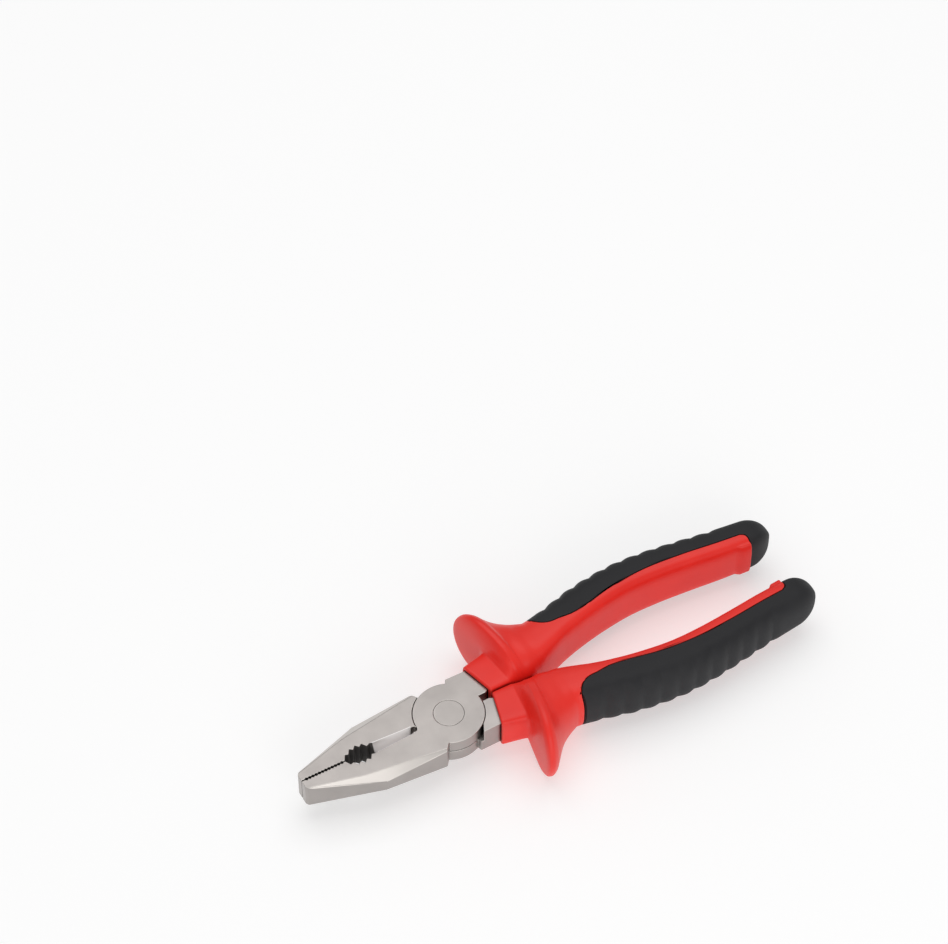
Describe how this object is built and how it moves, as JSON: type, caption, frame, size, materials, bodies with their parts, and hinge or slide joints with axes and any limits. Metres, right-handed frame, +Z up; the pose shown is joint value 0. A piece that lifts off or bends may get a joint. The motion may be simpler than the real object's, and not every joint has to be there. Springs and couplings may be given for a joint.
{
  "type": "lineman pliers",
  "caption": "Lap-joint combination pliers with serrated nose, pipe grip, side cutter and curved two-part handle sleeves with flared finger guards.",
  "frame": {"origin": "centre of the bounding box in plan, on the plane the pliers lie on", "axes": "+X along the tool from the jaws to the handle ends, +Y across it, +Z up, along the joint's rivet"},
  "size_m": [0.2, 0.07, 0.0304],
  "materials": {
    "lever_steel": "satin nickel-plated forged steel",
    "rivet_steel": "ground flush with the head",
    "sleeve_red": "satin-gloss moulded plastic",
    "grip_black": "matt soft-touch overmould"
  },
  "bodies": {
    "front_half": {"jaw_lever_front": "lever_steel", "joint_rivet": "rivet_steel", "handle_sleeve_right": "sleeve_red", "grip_right": "grip_black"},
    "rear_half": {"jaw_lever_rear": "lever_steel", "handle_sleeve_left": "sleeve_red", "grip_left": "grip_black"}
  },
  "joints": [
    {"name": "pivot", "type": "hinge", "parent": "front_half", "child": "rear_half", "pos_m": [-0.042, 0, 0.0152], "axis": [0, 0, -1], "range_deg": [0, 45]}
  ]
}
